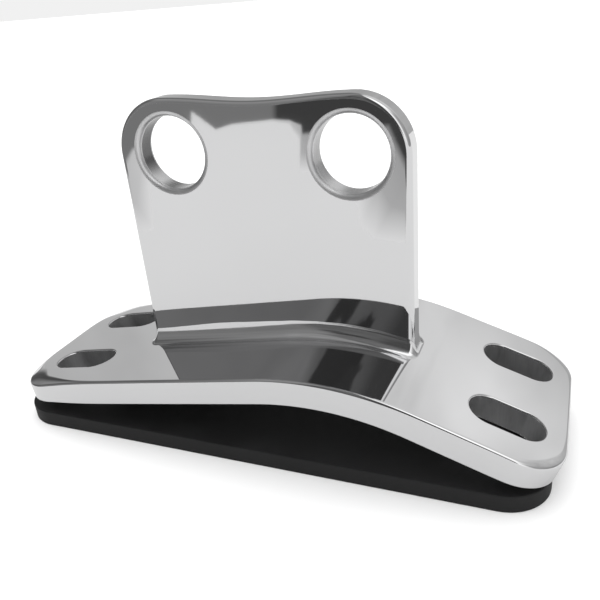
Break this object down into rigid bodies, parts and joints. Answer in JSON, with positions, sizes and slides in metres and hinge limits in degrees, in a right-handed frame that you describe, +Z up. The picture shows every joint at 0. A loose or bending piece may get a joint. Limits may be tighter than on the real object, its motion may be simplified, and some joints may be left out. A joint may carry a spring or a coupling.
{
  "type": "twin-eye deck bracket",
  "caption": "Polished deck bracket: a bent base plate with slotted bolt holes, an upright plate with two round eyes welded across it, and a rubber bedding pad.",
  "frame": {"origin": "centre of the footprint, on the underside of the rubber pad, which lies on the deck", "axes": "+X along the bracket towards the short steep flank, +Y across it towards the back of the upright, +Z up from the deck"},
  "size_m": [0.1633, 0.058, 0.0954],
  "materials": {
    "polished_steel": "mirror polished stainless steel",
    "polished_weld": "ground and polished stainless weld, slightly uneven",
    "black_rubber": "matt black rubber"
  },
  "bodies": {
    "root": {"base_plate": "polished_steel", "upright_plate": "polished_steel", "weld_front": "polished_weld", "weld_rear": "polished_weld", "weld_left_end": "polished_weld", "weld_right_end": "polished_weld", "rubber_pad": "black_rubber"}
  },
  "joints": []
}
